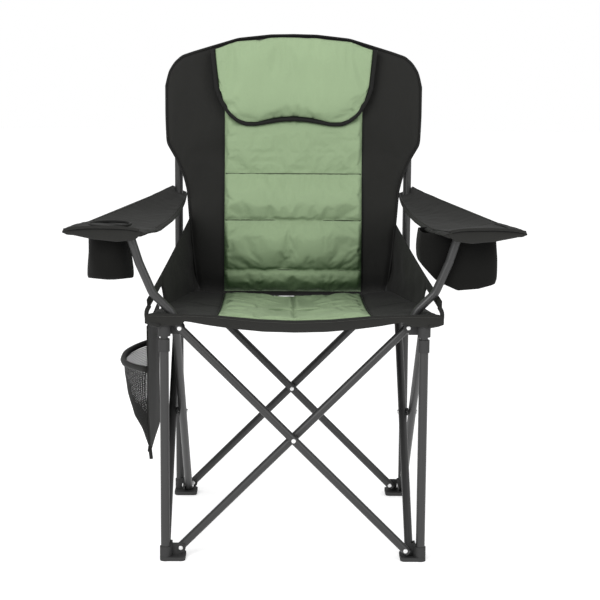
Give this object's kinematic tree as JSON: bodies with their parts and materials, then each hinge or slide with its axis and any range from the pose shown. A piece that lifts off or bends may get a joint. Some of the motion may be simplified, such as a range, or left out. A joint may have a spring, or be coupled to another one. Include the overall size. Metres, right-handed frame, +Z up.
{
  "type": "folding camp chair",
  "caption": "Padded folding camp chair with high back, head pillow, armrests, cup holder, cooler pouch and side pocket on a crossed tube frame.",
  "frame": {"origin": "on the floor at the centre of the four feet", "axes": "+Z up, the sitter faces -Y, +X to the right of someone looking at the chair from the front"},
  "size_m": [0.904, 0.56, 1.036],
  "materials": {
    "frame_paint": "satin",
    "rivet_steel": "satin",
    "black_plastic": "matte",
    "black_fabric": "matte",
    "green_fabric": "matte",
    "black_mesh": "matte"
  },
  "bodies": {
    "rear_left_leg": {"foot_rear_left": "black_plastic", "foot_rivets_rear_left": "rivet_steel", "upright_left": "frame_paint", "backrest_cover": "black_fabric", "backrest_quilt": "green_fabric", "head_pillow": "green_fabric", "armrest_rear_left": "black_fabric", "side_strap_left": "black_fabric"},
    "rear_cross_outer": {"rear_tube_outer": "frame_paint", "rear_crossing_rivet": "rivet_steel", "rear_crossing_spacer": "black_plastic"},
    "rear_cross_inner": {"rear_tube_inner": "frame_paint"},
    "rear_right_leg": {"foot_rear_right": "black_plastic", "foot_rivets_rear_right": "rivet_steel", "upright_right": "frame_paint", "armrest_rear_right": "black_fabric", "side_strap_right": "black_fabric"},
    "rear_left_slider": {"slider_rear_left": "black_plastic", "top_rivets_rear_left": "rivet_steel", "pocket_panel": "black_fabric", "mesh_pocket": "black_mesh"},
    "rear_right_slider": {"slider_rear_right": "black_plastic", "top_rivets_rear_right": "rivet_steel"},
    "left_cross_inner": {"left_tube_inner": "frame_paint"},
    "left_cross_outer": {"left_tube_outer": "frame_paint", "left_crossing_rivet": "rivet_steel", "left_crossing_spacer": "black_plastic"},
    "front_left_leg": {"foot_front_left": "black_plastic", "foot_rivets_front_left": "rivet_steel", "lower_post_front_left": "frame_paint", "post_collar_front_left": "black_plastic"},
    "front_left_hub": {"hub_front_left": "black_plastic", "top_rivets_front_left": "rivet_steel", "upper_post_front_left": "frame_paint"},
    "right_cross_outer": {"right_tube_outer": "frame_paint", "right_crossing_rivet": "rivet_steel", "right_crossing_spacer": "black_plastic"},
    "right_cross_inner": {"right_tube_inner": "frame_paint"},
    "front_right_leg": {"foot_front_right": "black_plastic", "foot_rivets_front_right": "rivet_steel", "lower_post_front_right": "frame_paint", "post_collar_front_right": "black_plastic"},
    "front_right_hub": {"hub_front_right": "black_plastic", "top_rivets_front_right": "rivet_steel", "upper_post_front_right": "frame_paint"},
    "front_cross_outer": {"front_tube_outer": "frame_paint", "front_crossing_rivet": "rivet_steel", "front_crossing_spacer": "black_plastic", "arm_cap_left": "black_plastic"},
    "front_cross_inner": {"front_tube_inner": "frame_paint", "arm_cap_right": "black_plastic"},
    "cup_carrier": {"cup_holder": "black_fabric", "armrest_front_left": "black_fabric"},
    "cooler_carrier": {"cooler_pouch": "black_fabric", "armrest_front_right": "black_fabric"},
    "seat_rear": {"seat_sling_rear": "black_fabric", "seat_panel_rear": "green_fabric"},
    "seat_front": {"seat_sling_front": "black_fabric", "seat_panel_front": "green_fabric", "seat_front_hem": "black_fabric"}
  },
  "joints": [
    {"name": "fold", "type": "hinge", "parent": "rear_left_leg", "child": "rear_cross_outer", "pos_m": [-0.225, 0.255, 0.022], "axis": [0, -1, 0], "range_deg": [0, 33.2], "deforming": ["backrest_cover", "backrest_quilt", "head_pillow", "armrest_rear_left", "armrest_rear_right", "side_strap_left", "side_strap_right", "pocket_panel", "mesh_pocket", "seat_sling_rear", "seat_panel_rear", "seat_sling_front", "seat_panel_front", "seat_front_hem"]},
    {"name": "rear_crossing", "type": "hinge", "parent": "rear_cross_outer", "child": "rear_cross_inner", "pos_m": [0, 0.255, 0.247], "axis": [0, -1, 0], "range_deg": [-66.4, 0]},
    {"name": "rear_right_foot_pin", "type": "hinge", "parent": "rear_cross_inner", "child": "rear_right_leg", "pos_m": [0.225, 0.234, 0.022], "axis": [0, -1, 0], "range_deg": [0, 33.2]},
    {"name": "rear_left_slider_pin", "type": "hinge", "parent": "rear_cross_inner", "child": "rear_left_slider", "pos_m": [-0.225, 0.234, 0.472], "axis": [0, -1, 0], "range_deg": [0, 33.2]},
    {"name": "rear_right_slider_pin", "type": "hinge", "parent": "rear_cross_outer", "child": "rear_right_slider", "pos_m": [0.225, 0.255, 0.472], "axis": [0, -1, 0], "range_deg": [-33.2, 0]},
    {"name": "left_inner_foot_pin", "type": "hinge", "parent": "rear_left_leg", "child": "left_cross_inner", "pos_m": [-0.234, 0.225, 0.022], "axis": [-1, 0, 0], "range_deg": [0, 33.2]},
    {"name": "left_crossing", "type": "hinge", "parent": "left_cross_inner", "child": "left_cross_outer", "pos_m": [-0.255, 0, 0.247], "axis": [-1, 0, 0], "range_deg": [-66.4, 0]},
    {"name": "front_left_foot_pin", "type": "hinge", "parent": "left_cross_outer", "child": "front_left_leg", "pos_m": [-0.255, -0.225, 0.022], "axis": [-1, 0, 0], "range_deg": [0, 33.2]},
    {"name": "front_left_hub_pin", "type": "hinge", "parent": "left_cross_inner", "child": "front_left_hub", "pos_m": [-0.234, -0.225, 0.472], "axis": [-1, 0, 0], "range_deg": [-33.2, 0]},
    {"name": "right_outer_foot_pin", "type": "hinge", "parent": "rear_right_leg", "child": "right_cross_outer", "pos_m": [0.255, 0.225, 0.022], "axis": [-1, 0, 0], "range_deg": [0, 33.2]},
    {"name": "right_crossing", "type": "hinge", "parent": "right_cross_outer", "child": "right_cross_inner", "pos_m": [0.255, 0, 0.247], "axis": [-1, 0, 0], "range_deg": [-66.4, 0]},
    {"name": "front_right_foot_pin", "type": "hinge", "parent": "right_cross_inner", "child": "front_right_leg", "pos_m": [0.234, -0.225, 0.022], "axis": [-1, 0, 0], "range_deg": [0, 33.2]},
    {"name": "front_right_hub_pin", "type": "hinge", "parent": "right_cross_outer", "child": "front_right_hub", "pos_m": [0.255, -0.225, 0.472], "axis": [-1, 0, 0], "range_deg": [-33.2, 0]},
    {"name": "front_outer_hub_pin", "type": "hinge", "parent": "front_left_hub", "child": "front_cross_outer", "pos_m": [-0.225, -0.255, 0.472], "axis": [0, 1, 0], "range_deg": [0, 33.2]},
    {"name": "front_inner_hub_pin", "type": "hinge", "parent": "front_right_hub", "child": "front_cross_inner", "pos_m": [0.225, -0.234, 0.472], "axis": [0, -1, 0], "range_deg": [0, 33.2]},
    {"name": "left_arm_end", "type": "hinge", "parent": "front_cross_outer", "child": "cup_carrier", "pos_m": [-0.317, -0.255, 0.644], "axis": [0, 1, 0], "range_deg": [-33.2, 0]},
    {"name": "right_arm_end", "type": "hinge", "parent": "front_cross_inner", "child": "cooler_carrier", "pos_m": [0.317, -0.234, 0.644], "axis": [0, -1, 0], "range_deg": [-33.2, 0]},
    {"name": "seat_rear_edge", "type": "hinge", "parent": "rear_left_slider", "child": "seat_rear", "pos_m": [-0.225, 0.189, 0.466], "axis": [1, 0, 0], "range_deg": [0, 82.8]},
    {"name": "seat_middle", "type": "hinge", "parent": "seat_rear", "child": "seat_front", "pos_m": [-0.225, -0.0197, 0.472], "axis": [1, 0, 0], "range_deg": [-144.4, 0]}
  ],
  "couplings": [
    {"joint": "rear_crossing", "follows": "fold", "ratio": -2},
    {"joint": "rear_right_foot_pin", "follows": "fold", "ratio": 1},
    {"joint": "rear_left_slider_pin", "follows": "fold", "ratio": 1},
    {"joint": "rear_right_slider_pin", "follows": "fold", "ratio": -1},
    {"joint": "left_inner_foot_pin", "follows": "fold", "ratio": 1},
    {"joint": "left_crossing", "follows": "fold", "ratio": -2},
    {"joint": "front_left_foot_pin", "follows": "fold", "ratio": 1},
    {"joint": "front_left_hub_pin", "follows": "fold", "ratio": -1},
    {"joint": "right_outer_foot_pin", "follows": "fold", "ratio": 1},
    {"joint": "right_crossing", "follows": "fold", "ratio": -2},
    {"joint": "front_right_foot_pin", "follows": "fold", "ratio": 1},
    {"joint": "front_right_hub_pin", "follows": "fold", "ratio": -1},
    {"joint": "front_outer_hub_pin", "follows": "fold", "ratio": 1},
    {"joint": "front_inner_hub_pin", "follows": "fold", "ratio": 1},
    {"joint": "left_arm_end", "follows": "fold", "ratio": -1},
    {"joint": "right_arm_end", "follows": "fold", "ratio": -1},
    {"joint": "seat_rear_edge", "follows": "fold", "ratio": 2.494},
    {"joint": "seat_middle", "follows": "fold", "ratio": -4.3494}
  ]
}
